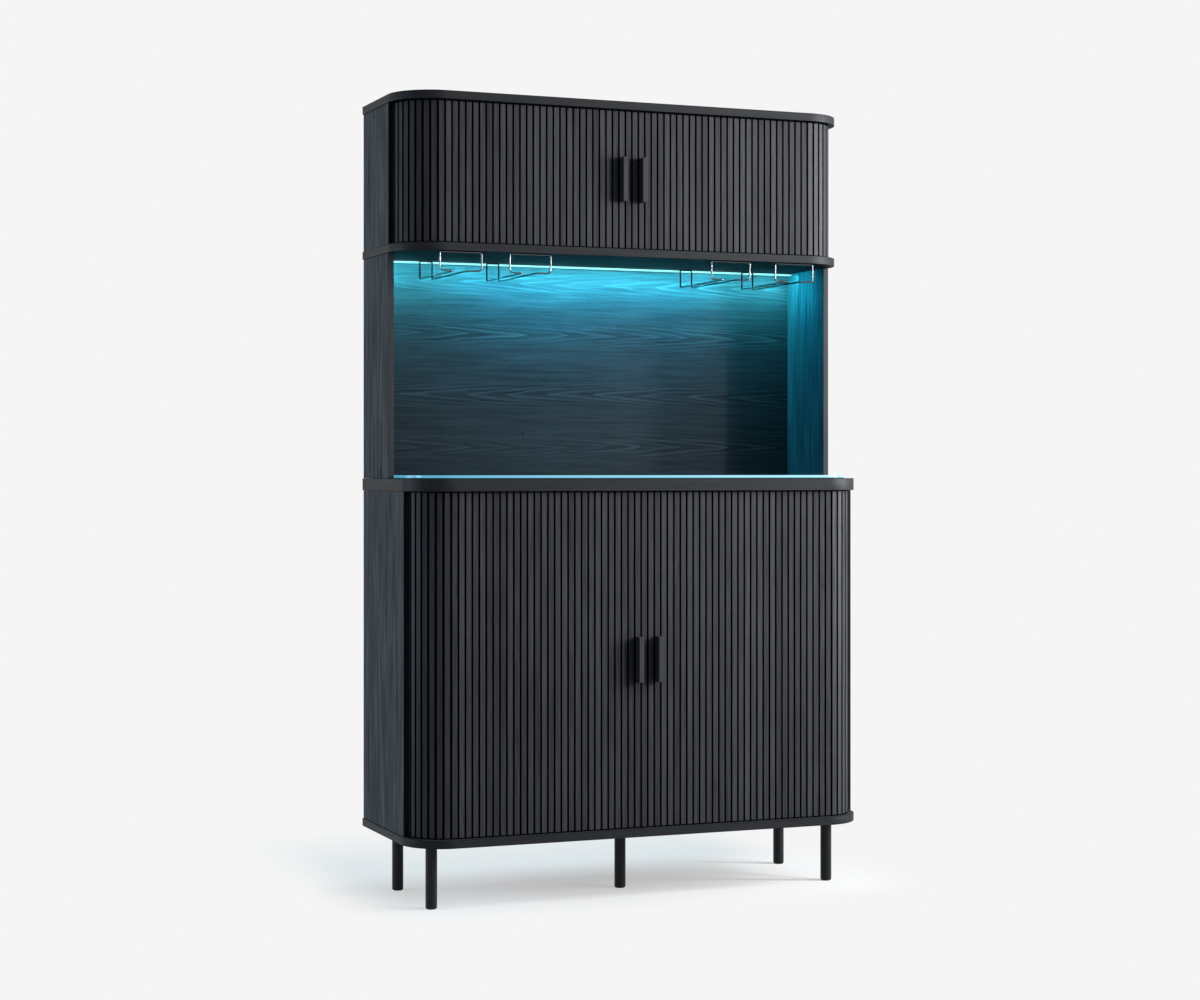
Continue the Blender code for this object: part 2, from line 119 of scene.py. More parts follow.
def new_group(name, given, made):
    """A shader group with named inputs and outputs. Returns its tree, its inputs and its output node."""
    tree = bpy.data.node_groups.new(name, "ShaderNodeTree")
    for word, kind, value in given:
        socket = tree.interface.new_socket(name=word, in_out="INPUT", socket_type="NodeSocket" + kind)
        if value is not None:
            socket.default_value = value
    for word, kind in made:
        tree.interface.new_socket(name=word, in_out="OUTPUT", socket_type="NodeSocket" + kind)
    return tree, tree.nodes.new("NodeGroupInput").outputs, tree.nodes.new("NodeGroupOutput")


def make_ash_group():
    """Stained ash veneer: leaves side by side, each with growth rings cut at a slant, fibres and pores.

    The veneer's map gives metres along the grain and metres across it."""
    tree, given, made = new_group(
        "stained_ash",
        [("Veneer", "Vector", None), ("Strip", "Float", UNSET), ("Figure", "Float", 0.5),
         ("Fibre", "Float", 0.5), ("Band", "Float", 0.3), ("Cloud", "Float", 0.3), ("Mix", "Float", 0.0),
         ("Stain", "Color", (0.02, 0.02, 0.02, 1)), ("Pale", "Color", (0.06, 0.06, 0.06, 1)),
         ("Knot", "Vector", (UNSET, 0.0, 0.0))],
        [("Colour", "Color"), ("Roughness", "Float"), ("Height", "Float")])
    along, across, _ = split_place(tree, given["Veneer"])
    ratio = reckon(tree, "DIVIDE", across, LEAF)
    leaf = reckon(tree, "FLOOR", ratio)
    middle = reckon(tree, "MULTIPLY", reckon(tree, "SUBTRACT", reckon(tree, "FRACT", ratio), 0.5), LEAF)
    chance = place_node(tree, "ShaderNodeTexWhiteNoise", {"W": leaf}, noise_dimensions="1D")
    rolls = place_node(tree, "ShaderNodeSeparateColor", {0: chance.outputs["Color"]}).outputs

    def grain(lengthwise, crosswise, third, detail=2.0, rough=0.5):
        """Noise with so many cells to the metre along the grain and across it."""
        return stretched_noise(tree, reckon(tree, "MULTIPLY", along, lengthwise),
                               reckon(tree, "MULTIPLY", across, crosswise), third, detail, rough)

    # The figure: nested tips on the leaf's middle line, which wanders, and straight lines away from it
    wander = grain(1.3, 3.0, reckon(tree, "MULTIPLY", leaf, 5.3))
    ripple = grain(11.0, 50.0, leaf, 3.0)
    aside = reckon(tree, "MULTIPLY_ADD", wander, 0.024, -0.012)
    aside = reckon(tree, "ADD", aside, reckon(tree, "MULTIPLY_ADD", ripple, 0.004, -0.002))
    aside = reckon(tree, "ADD", aside, reckon(tree, "MULTIPLY_ADD", rolls[0], 0.024, -0.012))
    aside = reckon(tree, "ABSOLUTE", reckon(tree, "ADD", aside, middle))
    spread = reckon(tree, "POWER", reckon(tree, "DIVIDE", aside, 0.013), 1.3)
    rise = reckon(tree, "MULTIPLY_ADD", reckon(tree, "GREATER_THAN", rolls[1], 0.5), 16.0, -8.0)
    sway = grain(5.0, 25.0, reckon(tree, "MULTIPLY", leaf, 2.1), 2.0)
    rings = reckon(tree, "MULTIPLY_ADD", along, rise, reckon(tree, "MULTIPLY_ADD", sway, 1.8, spread))
    late = reckon(tree, "SUBTRACT", reckon(tree, "POWER", reckon(tree, "FRACT", rings), 4.0), 0.12)
    year = reckon(tree, "ADD", reckon(tree, "FLOOR", rings), reckon(tree, "MULTIPLY", leaf, 31.7))
    strength = place_node(tree, "ShaderNodeTexWhiteNoise", {"W": year}, noise_dimensions="1D")
    strength = reckon(tree, "MULTIPLY_ADD", strength.outputs["Value"], 0.7, 0.3)
    near = ramp(tree, aside, 0.042, 0.006)
    line = reckon(tree, "MULTIPLY", late, strength)
    line = reckon(tree, "MULTIPLY", line, reckon(tree, "MULTIPLY_ADD", near, 0.95, 0.05))
    # Fibres run the leaf's length. Short dark dashes lie in the straight wood, and fine pores all over
    fibre = grain(7.0, 320.0, leaf, 3.0, 0.62)
    streak = grain(5.0, 130.0, leaf, 2.0)
    band = grain(4.0, 60.0, leaf, 3.0)
    dash = ramp(tree, grain(22.0, 420.0, reckon(tree, "ADD", leaf, 0.5), 1.0), 0.56, 0.72)
    pore = ramp(tree, grain(45.0, 2600.0, 0.0, 1.0), 0.60, 0.72)
    cloud = grain(3.2, 9.0, 3.0, 2.0, 0.55)
    strip = reckon(tree, "FLOOR", reckon(tree, "DIVIDE", across, given["Strip"]))
    pick = place_node(tree, "ShaderNodeTexWhiteNoise", {"W": strip}, noise_dimensions="1D").outputs["Value"]
    level = reckon(tree, "MULTIPLY_ADD", line, given["Figure"], 0.42)
    for part, word in (
            (fibre, "Fibre"), (streak, "Fibre"), (band, "Band"), (cloud, "Cloud"), (pick, "Mix")):
        level = reckon(tree, "MULTIPLY_ADD", reckon(tree, "SUBTRACT", part, 0.5), given[word], level)
    level = reckon(tree, "MULTIPLY_ADD", dash, reckon(tree, "MULTIPLY", given["Fibre"], -0.2), level)
    level = reckon(tree, "MULTIPLY_ADD", pore, -0.14, level)
    # One pin knot, taller across the grain than along it
    from_knot = place_node(tree, "ShaderNodeVectorMath", {0: given["Veneer"], 1: given["Knot"]},
                           operation="SUBTRACT").outputs[0]
    from_knot = place_node(tree, "ShaderNodeVectorMath", {0: from_knot, 1: (1.6, 0.8, 0.0)},
                           operation="MULTIPLY").outputs[0]
    from_knot = place_node(tree, "ShaderNodeVectorMath", {0: from_knot},
                           operation="LENGTH").outputs["Value"]
    level = reckon(tree, "MULTIPLY_ADD", ramp(tree, from_knot, 0.0045, 0.0022), -0.6, level)
    tree.links.new(blend(tree, level, given["Stain"], given["Pale"]), made.inputs["Colour"])
    rough = reckon(tree, "MULTIPLY_ADD", level, -0.14, 0.56)
    tree.links.new(reckon(tree, "MULTIPLY_ADD", pore, 0.12, rough), made.inputs["Roughness"])
    height = reckon(tree, "MULTIPLY_ADD", fibre, 0.35, reckon(tree, "MULTIPLY", line, 0.25))
    tree.links.new(reckon(tree, "MULTIPLY_ADD", pore, -0.6, height), made.inputs["Height"])
    return tree


ASH_GROUP = make_ash_group()


def new_material(name):
    """An empty node material with a Principled shader. Returns the material, its tree and the shader."""
    material = bpy.data.materials.new(name)
    material.use_nodes = True
    return material, material.node_tree, material.node_tree.nodes["Principled BSDF"]


def group_material(name, group, values, bump, deep, specular, metallic=0.0):
    """A material whose colour, roughness and relief come from a group. Returns it and its group node."""
    material, tree, shader = new_material(name)
    look = place_node(tree, "ShaderNodeGroup", values, node_tree=group)
    relief = place_node(tree, "ShaderNodeBump",
                        {"Height": look.outputs["Height"], "Strength": bump, "Distance": deep})
    tree.links.new(look.outputs["Colour"], shader.inputs["Base Color"])
    tree.links.new(look.outputs["Roughness"], shader.inputs["Roughness"])
    tree.links.new(relief.outputs[0], shader.inputs["Normal"])
    shader.inputs["Metallic"].default_value = metallic
    shader.inputs["Specular IOR Level"].default_value = specular
    return material, look


def ash(name, stain, pale, figure=0.5, fibre=0.9, band=0.3, cloud=0.3, strip=UNSET, mix=0.0,
        specular=0.07, knot=(UNSET, 0.0, 0.0)):
    """Black-stained ash under a matt lacquer, mapped by the piece's own veneer map."""
    values = {"Stain": (*stain, 1), "Pale": (*pale, 1), "Figure": figure, "Fibre": fibre, "Band": band,
              "Cloud": cloud, "Strip": strip, "Mix": mix, "Knot": knot}
    material, look = group_material(name, ASH_GROUP, values, 0.35, 0.0002, specular)
    tree = material.node_tree
    tree.links.new(place_node(tree, "ShaderNodeUVMap", uv_map="veneer").outputs[0], look.inputs["Veneer"])
    return material


ash_face = ash("ash_face", (0.010, 0.011, 0.0125), (0.034, 0.037, 0.041), figure=1.0)
ash_lipping = ash("ash_lipping", (0.0055, 0.0060, 0.0072), (0.0165, 0.0178, 0.0205), figure=0.1, fibre=0.8,
                  specular=0.10)
# Painted shade: the boards' undersides and upper arrises take this darker colour, and its blue-green tint is
# painted light from the bar
ash_painted_shade = ash("ash_underside_painted_shade", (0.0012, 0.0028, 0.0042), (0.0036, 0.0076, 0.0110), figure=0.1,
                specular=0.02)


def round_off(bm, edges, radius, steps):
    """Round edges, or the corners that upright edges stand on, to a radius."""
    bmesh.ops.bevel(bm, geom=edges, offset=radius, segments=steps, profile=0.5, affect="EDGES", material=-1)


def block(low, high, arris=0.0006, steps=2, bm=None):
    """A sawn piece between two corners, with its arrises eased. Returns its bmesh."""
    whole = bm or bmesh.new()
    made = bmesh.ops.create_cube(whole, size=1)["verts"]
    size = Vector(high) - Vector(low)
    bmesh.ops.scale(whole, vec=size, verts=made)
    bmesh.ops.translate(whole, vec=(Vector(low) + Vector(high)) / 2, verts=made)
    if arris:
        edges = dict.fromkeys(edge for vert in made for edge in vert.link_edges)
        round_off(whole, list(edges), arris, steps)
    return whole


def upright_edges(bm, keep):
    """The upright edges whose foot passes a test."""
    found = []
    for edge in bm.edges:
        a, b = edge.verts
        if abs(a.co.x - b.co.x) < TOUCH and abs(a.co.y - b.co.y) < TOUCH and keep(a.co):
            found.append(edge)
    return found


def track_cutter(low, high, corner, z0, z1):
    """The shape of the curtains' groove: a closed band of one width inside a board's outline."""
    outer = FACE_DEPTH - TRACK_PLAY
    bm = block((low.x + outer, low.y + outer, z0), (high.x - outer, high.y - outer, z1), arris=0)
    round_off(bm, upright_edges(bm, lambda p: p.y < 0), corner - outer, 24)
    round_off(bm, upright_edges(bm, lambda p: p.y > high.y - outer - 1e-4), TRACK_REAR_RADIUS, 12)
    caps = [face for face in bm.faces if abs(face.normal.z) > 0.9]
    wide = SLAT_DEPTH + 2 * TRACK_PLAY
    bmesh.ops.inset_region(bm, faces=caps, thickness=wide, use_even_offset=True, use_boundary=True)
    # The broad face left inside the band goes, above and below, and an inner wall joins the two holes
    inside = [face for face in bm.faces if face.calc_area() > TRACK_INSIDE]
    bmesh.ops.delete(bm, geom=inside, context="FACES")
    bmesh.ops.bridge_loops(bm, edges=[edge for edge in bm.edges if edge.is_boundary])
    return bm


def as_object(name, bm):
    """A mesh object at the origin made from a bmesh."""
    mesh = bpy.data.meshes.new(name)
    bm.to_mesh(mesh)
    bm.free()
    obj = bpy.data.objects.new(name, mesh)
    bpy.context.scene.collection.objects.link(obj)
    return obj


def routed(bm, cutter):
    """The bmesh of a piece with a groove or hole cut in it."""
    piece, tool = as_object("blank", bm), as_object("tool", cutter)
    cut = piece.modifiers.new("Groove", "BOOLEAN")
    cut.solver = "EXACT"
    cut.object = tool
    bpy.context.view_layer.update()
    result = bmesh.new()
    result.from_object(piece, bpy.context.evaluated_depsgraph_get())
    bpy.data.objects.remove(piece, do_unlink=True)
    bpy.data.objects.remove(tool, do_unlink=True)
    return result


def run_round(p, front, corner):
    """How far a place lies from the middle of the front, measured round a front corner."""
    side = math.copysign(1.0, p.x)
    x, y = abs(p.x), p.y
    centre = Vector((HALF_WIDTH - corner, front + corner))
    if y < centre.y and x > centre.x:
        angle = math.atan2(x - centre.x, centre.y - y)
        return side * (centre.x + corner * angle)
    if y >= centre.y and HALF_WIDTH - x < 0.02:
        return side * (centre.x + corner * math.pi / 2 + y - centre.y)
    return p.x


def map_veneer(bm, along, number, rounded=None):
    """Lay the veneer: metres along the grain and across it. Each piece has its own number of the log.

    rounded is (front, corner) for a board whose upright faces carry a lipping that runs round it."""
    layer = bm.loops.layers.uv.new("veneer")
    shift = number * LOG_ACROSS
    for face in bm.faces:
        n = [abs(v) for v in face.normal]
        flat = n.index(max(n))
        for loop in face.loops:
            p = loop.vert.co
            if rounded and flat != 2:
                loop[layer].uv = (run_round(p, *rounded), p.z + shift + LIPPING_PLACE)
                continue
            grain = along if along != flat else (flat + 1) % 3
            cross = 3 - grain - flat
            loop[layer].uv = (p[grain] + number * LOG_ALONG, p[cross] + shift)


def finish_piece(name, bm, materials, body, nodes=(), smooth=35):
    """Make the object, shade it, and tell the frame what it rides on and what it stands for.

    Broad flat faces are shaded flat, so that the eased arrises beside them don't make them look domed."""
    obj = as_object(name, bm)
    for material in materials:
        obj.data.materials.append(material)
    obj.data.shade_smooth()
    obj.data.set_sharp_from_angle(angle=math.radians(smooth))
    for face in obj.data.polygons:
        if face.area > BROAD:
            face.use_smooth = False
    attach(obj, body)
    if nodes:
        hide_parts(*nodes)
    return obj


def plate(low, high, corner, arris, steps):
    """A board or plate with round front corners and eased arrises. Returns its bmesh."""
    bm = block(low, high, arris=0)
    round_off(bm, upright_edges(bm, lambda p: p.y < 0), corner, 32)
    rim = [edge for edge in bm.edges if abs(edge.verts[0].co.z - edge.verts[1].co.z) < TOUCH]
    round_off(bm, rim, arris, steps)
    return bm


def add_board(node, corner, number, groove):
    """A veneered board with its lipping, and a groove for the curtains in its top or underside."""
    low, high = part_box(node)
    bm = plate(low, high, corner, BOARD_ARRIS, 3)
    if groove == "up":
        z = (high.z - TRACK_DEEP, high.z + CUTTER_PAST)
    else:
        z = (low.z - CUTTER_PAST, low.z + TRACK_DEEP)
    bm = routed(bm, track_cutter(low, high, corner, *z))
    # The upper arris and the underside take a darker colour, tinted blue-green: painted shade, and on the
    # underside a painted tint of the bar's light
    for face in bm.faces:
        tilt = face.normal.z
        face.material_index = 0 if tilt > 0.9 else 2 if tilt < -0.9 or tilt > 0.25 else 1
    map_veneer(bm, 0, number, rounded=(low.y, corner))
    looks = [ash_face, ash_lipping, ash_painted_shade]
    finish_piece(node + "_dressed", bm, looks, "cabinet", [node])


add_board("base_board", LOWER_CORNER, number=1, groove="up")

# Legs
# Five round legs, 28 mm steel tube powder-coated in matt black, each with a stud that screws into a zinc-
# plated insert in the base board. A thin plastic glide is pressed into the foot.

LEG_PLACES = ("front_left", "front_right", "rear_left", "rear_right", "middle")
LEG_RADIUS = 0.014
LEG_TOP_ARRIS = 0.0006
SEAT_GAP = 0.0003
STUD_RADIUS = 0.004
STUD_ARRIS = 0.0006
FOOT_ROUND = 0.002
FOOT_STEPS = 4
GLIDE_RADIUS = 0.0113
GLIDE_TALL = 0.0015
GLIDE_ARRIS = 0.0004


def object_place(tree):
    """The place on the object."""
    return place_node(tree, "ShaderNodeTexCoord").outputs["Object"]


def make_surface_group():
    """A worked surface: fine speckle, slow blotches and handling marks, on Object coordinates."""
    tree, given, made = new_group(
        "worked_surface",
        [("Base", "Color", (0.02, 0.02, 0.02, 1)), ("Worn", "Color", (0.05, 0.05, 0.05, 1)),
         ("Speckle", "Float", 900.0), ("Roughness", "Float", 0.4), ("Spread", "Float", 0.1),
         ("Stretch", "Vector", (1.0, 1.0, 1.0))],
        [("Colour", "Color"), ("Roughness", "Float"), ("Height", "Float")])
    place = place_node(tree, "ShaderNodeVectorMath", {0: object_place(tree), 1: given["Stretch"]},
                       operation="MULTIPLY").outputs[0]
    speckle = place_node(tree, "ShaderNodeTexNoise",
                         {"Vector": place, "Scale": given["Speckle"], "Detail": 2.0}).outputs["Fac"]
    blotch = place_node(tree, "ShaderNodeTexNoise",
                        {"Vector": place, "Scale": 14.0, "Detail": 3.0, "Roughness": 0.6}).outputs["Fac"]
    level = reckon(tree, "MULTIPLY_ADD", speckle, 0.45, reckon(tree, "MULTIPLY_ADD", blotch, 0.8, -0.25))
    tree.links.new(blend(tree, level, given["Base"], given["Worn"]), made.inputs["Colour"])
    change = reckon(tree, "MULTIPLY", reckon(tree, "SUBTRACT", blotch, 0.5), given["Spread"])
    tree.links.new(reckon(tree, "ADD", given["Roughness"], change), made.inputs["Roughness"])
    tree.links.new(speckle, made.inputs["Height"])
    return tree


SURFACE_GROUP = make_surface_group()


def surface(name, base, worn, metallic, rough, spread=0.1, speckle=900.0, stretch=(1, 1, 1), bump=0.1,
            specular=0.5):
    """A metal, plastic or cloth finish from the worked surface."""
    values = {"Base": (*base, 1), "Worn": (*worn, 1), "Speckle": speckle, "Roughness": rough,
              "Spread": spread, "Stretch": stretch}
    return group_material(name, SURFACE_GROUP, values, bump, 0.0001, specular, metallic)[0]


black_coat = surface("black_powder_coat", (0.0045, 0.005, 0.006), (0.009, 0.010, 0.0115), 0.0, 0.42,
                     speckle=1400.0, bump=0.25, specular=0.16)
glide_plastic = surface("glide_plastic", (0.005, 0.005, 0.0055), (0.008, 0.008, 0.0085), 0.0, 0.6,
                        specular=0.15)
zinc = surface("zinc_plate", (0.50, 0.50, 0.49), (0.66, 0.66, 0.64), 1.0, 0.32, speckle=500.0)


def turned(profile, x, y, steps=64):
    """A turned piece: (radius, height) points, spun about an upright axis at x, y."""
    bm = bmesh.new()
    verts = [bm.verts.new((x + radius, y, height)) for radius, height in profile]
    edges = [bm.edges.new(pair) for pair in zip(verts, verts[1:])]
    bmesh.ops.spin(bm, geom=verts + edges, cent=(x, y, 0), axis=(0, 0, 1), angle=2 * math.pi, steps=steps,
                   use_merge=True)
    bmesh.ops.remove_doubles(bm, verts=bm.verts, dist=TOUCH)
    bmesh.ops.recalc_face_normals(bm, faces=bm.faces)
    return bm


def dress(node, material):
    """Give a CAD node that stays its finish."""
    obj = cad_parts[node]
    obj.data.materials.clear()
    obj.data.materials.append(material)


tube_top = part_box("base_board")[0].z - SEAT_GAP
foot = GLIDE_TALL + FOOT_ROUND
for place in LEG_PLACES:
    low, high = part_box("leg_" + place)
    profile = [(0, high.z), (STUD_RADIUS - STUD_ARRIS, high.z), (STUD_RADIUS, high.z - STUD_ARRIS),
               (STUD_RADIUS, tube_top), (LEG_RADIUS - LEG_TOP_ARRIS, tube_top),
               (LEG_RADIUS, tube_top - LEG_TOP_ARRIS)]
    for i in range(FOOT_STEPS + 1):
        turn = math.pi / 2 * i / FOOT_STEPS
        profile.append((LEG_RADIUS - FOOT_ROUND * (1 - math.cos(turn)), foot - FOOT_ROUND * math.sin(turn)))
    profile += [(GLIDE_RADIUS, GLIDE_TALL), (GLIDE_RADIUS, GLIDE_ARRIS), (GLIDE_RADIUS - GLIDE_ARRIS, 0),
                (0, 0)]
    bm = turned(profile, (low.x + high.x) / 2, (low.y + high.y) / 2)
    for face in bm.faces:
        face.material_index = 1 if face.calc_center_median().z < GLIDE_TALL - 1e-4 else 0
    finish_piece(f"leg_{place}_dressed", bm, [black_coat, glide_plastic], "cabinet",
                 ["leg_" + place])
for place in LEG_PLACES:
    dress("insert_" + place, zinc)

# Side panels
# Six upright panels, 12 or 14 mm thick, veneered with the grain upright and lipped at the front edge.
# They are doweled between the boards and carry the backs.

FIRST_SIDE_NUMBER = 3
SIDE_ARRIS = 0.0008
ash_upright = ash("ash_upright", (0.007, 0.010, 0.013), (0.060, 0.072, 0.080), figure=0.7, fibre=1.1,
                  band=1.4, cloud=0.5, specular=0.03)
# Painted light: the side panels' faces turned inward take this blue-green colour, a painted glow of the
# bar's light
ash_inner_painted_glow = ash("ash_inner_painted_glow", (0.0030, 0.0085, 0.0110), (0.0220, 0.0480, 0.0580), figure=0.5, fibre=0.9,
                 band=0.6, cloud=0.4, specular=0.03)
# Painted shade: the side panels' front edges take a darker colour, near-black on the lower and upper
# cabinets beside the curtains, and less dark on the niche's panels
ash_front_painted_shade = ash("ash_front_painted_shade", (0.0022, 0.0024, 0.0028), (0.006, 0.0064, 0.0072), figure=0.1, specular=0.03)
ash_front_half_painted_shade = ash("ash_front_half_painted_shade", (0.016, 0.017, 0.0185), (0.036, 0.0375, 0.040), figure=0.1, specular=0.08)
for row, level in enumerate(("lower", "hutch", "upper")):
    for column, (side, inward) in enumerate((("left", 1), ("right", -1))):
        node = f"{level}_side_{side}"
        bm = block(*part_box(node), arris=SIDE_ARRIS)
        for face in bm.faces:
            # Front edges take the painted shade colour, and the faces turned inward take the painted glow
            # colour
            face.material_index = 1 if face.normal.y < -0.95 else 2 if face.normal.x * inward > 0.95 else 0
        map_veneer(bm, 2, FIRST_SIDE_NUMBER + 2 * row + column)
        looks = [ash_upright, ash_front_half_painted_shade if level == "hutch" else ash_front_painted_shade, ash_inner_painted_glow]
        finish_piece(node + "_dressed", bm, looks, "cabinet", [node])

# Backs
# Three thin backs between the side panels. The open niche's back is the show face: four leaves of crown-
# cut veneer laid level. Each is held by small screws from behind.

HUTCH_BACK_NUMBER = 4.94
KNOT_X, KNOT_Z = -0.175, 1.139
BACK_ARRIS = 0.0003
INLET_HOLE = 0.0079
HOLE_CUTTER_LONG = 0.04
SCREWS_ACROSS = 7
SCREW_FROM_EDGE = 0.012
SCREW_HEAD = 0.0032
SCREW_TOP = 0.72 * SCREW_HEAD
SCREW_RIM = 0.34 * SCREW_HEAD
SCREW_HEAD_TALL = 0.0012
SCREW_PROUD = 0.0005
SCREW_DISH = 0.0007
ash_back = ash("ash_back", (0.0020, 0.0036, 0.0050), (0.0165, 0.0225, 0.0275), figure=1.1, fibre=0.7,
               specular=0.04,
               knot=(KNOT_X + HUTCH_BACK_NUMBER * LOG_ALONG, KNOT_Z + HUTCH_BACK_NUMBER * LOG_ACROSS, 0.0))
for number, level in enumerate(("lower", "hutch", "upper")):
    node = level + "_back"
    bm = block(*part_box(node), arris=BACK_ARRIS, steps=1)
    if level == "upper":
        low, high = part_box("power_inlet")
        x, z = (low.x + high.x) / 2, (low.z + high.z) / 2
        hole = bmesh.new()
        turn = Matrix.Translation((x, high.y, z)) @ Matrix.Rotation(math.pi / 2, 4, "X")
        bmesh.ops.create_cone(hole, cap_ends=True, segments=48, radius1=INLET_HOLE, radius2=INLET_HOLE,
                              depth=HOLE_CUTTER_LONG, matrix=turn)
        bm = routed(bm, hole)
    map_veneer(bm, 0, HUTCH_BACK_NUMBER - 1 + number)
    finish_piece(node + "_dressed", bm, [ash_back], "cabinet", [node])
bm = bmesh.new()
for level, rows in (("lower", 5), ("hutch", 4), ("upper", 3)):
    low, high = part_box(level + "_back")
    left, right = low.x + SCREW_FROM_EDGE, high.x - SCREW_FROM_EDGE
    places = []
    for i in range(SCREWS_ACROSS):
        x = left + (right - left) * i / (SCREWS_ACROSS - 1)
        places += [(x, low.z + SCREW_FROM_EDGE), (x, high.z - SCREW_FROM_EDGE)]
    for i in range(1, rows):
        z = low.z + (high.z - low.z) * i / rows
        places += [(left, z), (right, z)]
    for x, z in places:
        turn = Matrix.Translation((x, high.y + SCREW_PROUD, z)) @ Matrix.Rotation(-math.pi / 2, 4, "X")
        head = bmesh.ops.create_cone(bm, cap_ends=True, segments=16, radius1=SCREW_HEAD,
                                     radius2=SCREW_TOP, depth=SCREW_HEAD_TALL, matrix=turn)["verts"]
        top = [face for face in head[-1].link_faces if face.normal.y > 0.9]
        bmesh.ops.inset_region(bm, faces=top, thickness=SCREW_RIM, use_boundary=True)
        bmesh.ops.translate(bm, vec=(0, -SCREW_DISH, 0), verts=top[0].verts[:])
finish_piece("back_screws", bm, [zinc], "cabinet")

# Liners, false backs, dividers and shelves
# Inner walls of stained board that keep glasses and bottles clear of the moving curtains, a divider in
# the middle of each cabinet, and two shelves below on steel pins.

FIRST_INSIDE_NUMBER = 17
PIN_RADIUS = 0.0025
PIN_LONG = 0.0088
PIN_ARRIS = 0.0004
PIN_FROM_EDGE = 0.035
PIN_INWARD = 0.004
PIN_BELOW = 0.0027
ash_inside = ash("ash_inside", (0.012, 0.0125, 0.0135), (0.030, 0.031, 0.033), figure=0.3, fibre=0.4)
for number, (node, along) in enumerate((
        ("lower_liner_left", 2), ("lower_liner_right", 2), ("upper_liner_left", 2), ("upper_liner_right", 2),
        ("lower_false_back", 2), ("upper_false_back", 0), ("lower_divider", 2), ("upper_divider", 2),
        ("inner_shelf_left", 0), ("inner_shelf_right", 0))):
    bm = block(*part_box(node))
    map_veneer(bm, along, FIRST_INSIDE_NUMBER + number)
    finish_piece(node + "_dressed", bm, [ash_inside], "cabinet", [node])
bm = bmesh.new()
for node in ("inner_shelf_left", "inner_shelf_right"):
    low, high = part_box(node)
    for x, inward in ((low.x, 1), (high.x, -1)):
        for y in (low.y + PIN_FROM_EDGE, high.y - PIN_FROM_EDGE):
            place = (x + inward * PIN_INWARD, y, low.z - PIN_BELOW)
            turn = Matrix.Translation(place) @ Matrix.Rotation(math.pi / 2, 4, "Y")
            pin = bmesh.ops.create_cone(bm, cap_ends=True, segments=20, radius1=PIN_RADIUS,
                                        radius2=PIN_RADIUS, depth=PIN_LONG, matrix=turn)["verts"]
            ends = dict.fromkeys(edge for vert in pin for edge in vert.link_edges
                                 if abs(edge.verts[0].co.x - edge.verts[1].co.x) < TOUCH)
            round_off(bm, list(ends), PIN_ARRIS, 2)
finish_piece("shelf_pins", bm, [zinc], "cabinet")

# Tambour doors
# Slats of stained ash, 13.5 mm wide, glued side by side on black canvas. Their eased arrises, sides,
# shoulders and tongues take a near-black colour that is painted shade, so the gaps read nearly black. The
# two leading slats of each door are a stiff stile, and the rest slides round the corner in the boards'
# grooves.

UPPER_CORNER = 0.112
PITCH = 0.0173571
SLAT_GAP = 0.0038
SLAT_ARRIS = 0.0006
SHOULDER = 0.003
SHOULDER_DEEP = 0.003
CANVAS = 0.0015
CANVAS_SHORT = 0.0004
TONGUE = 0.006
STILE_SLATS = 2
CORNER_SLATS = 11

ash_slat = ash("ash_slat", (0.0070, 0.0072, 0.0085), (0.0415, 0.0420, 0.0487), figure=0.30, fibre=0.8,
               band=0.4, cloud=0.4, strip=PITCH, mix=0.34, specular=0.11)
slat_painted_shade = surface("slat_painted_shade", (0.0015, 0.0015, 0.0017), (0.003, 0.003, 0.0033), 0.0, 0.8,
                       specular=0.0)
canvas = surface("canvas", (0.001, 0.001, 0.001), (0.002, 0.002, 0.002), 0.0, 0.95, speckle=1800.0,
                 bump=0.6, specular=0.0)


def slats_at(places, z):
    """Slats at (matrix, distance along the curtain): one is shaped, and the rest are copies of it.

    Each end has a thinner tongue that runs in a board's groove, with a shoulder just clear of the board."""
    half, back = (PITCH - SLAT_GAP) / 2, SLAT_DEPTH - CANVAS
    foot, head = z[0] + TONGUE + SHOULDER, z[1] - TONGUE - SHOULDER
    bm = block((-half, 0, foot), (half, back, head), arris=0)
    round_off(bm, upright_edges(bm, lambda p: p.y < TOUCH), SLAT_ARRIS, 3)
    block((-half, SHOULDER_DEEP, z[0]), (half, back, foot), arris=0, bm=bm)
    block((-half, SHOULDER_DEEP, head), (half, back, z[1]), arris=0, bm=bm)
    layer = bm.loops.layers.uv.new("veneer")
    for face in bm.faces:
        # Only the flat front face takes the veneer; the arrises, sides, shoulders and tongues take the
        # near-black painted shade
        shown = face.normal.y < -0.98 and face.calc_center_median().y < SHOULDER_DEEP / 2
        face.material_index = 0 if shown else 1
        for loop in face.loops:
            loop[layer].uv = (loop.vert.co.z, loop.vert.co.x)
    shape = bm.verts[:] + bm.edges[:] + bm.faces[:]
    copies = [shape]
    for _ in places[1:]:
        copies.append(bmesh.ops.duplicate(bm, geom=shape)["geom"])
    for (matrix, run), copy in zip(places, copies):
        bmesh.ops.transform(bm, matrix=matrix, verts=[g for g in copy if isinstance(g, bmesh.types.BMVert)])
        for face in (g for g in copy if isinstance(g, bmesh.types.BMFace)):
            for loop in face.loops:
                loop[layer].uv.y += run
    return bm


def along_curtain(s, front, corner):
    """Where the slats' middle line is at a distance s from the meeting line, and how far it has turned."""
    start = HALF_WIDTH - corner
    inset = FACE_DEPTH + SLAT_DEPTH / 2
    middle = corner - inset
    bend = middle * math.pi / 2
    if s <= start:
        return Vector((s, front + inset, 0)), 0.0
    if s <= start + bend:
        a = (s - start) / middle
        return Vector((start + middle * math.sin(a), front + corner - middle * math.cos(a), 0)), a
    return Vector((HALF_WIDTH - inset, front + corner + s - start - bend, 0)), math.pi / 2


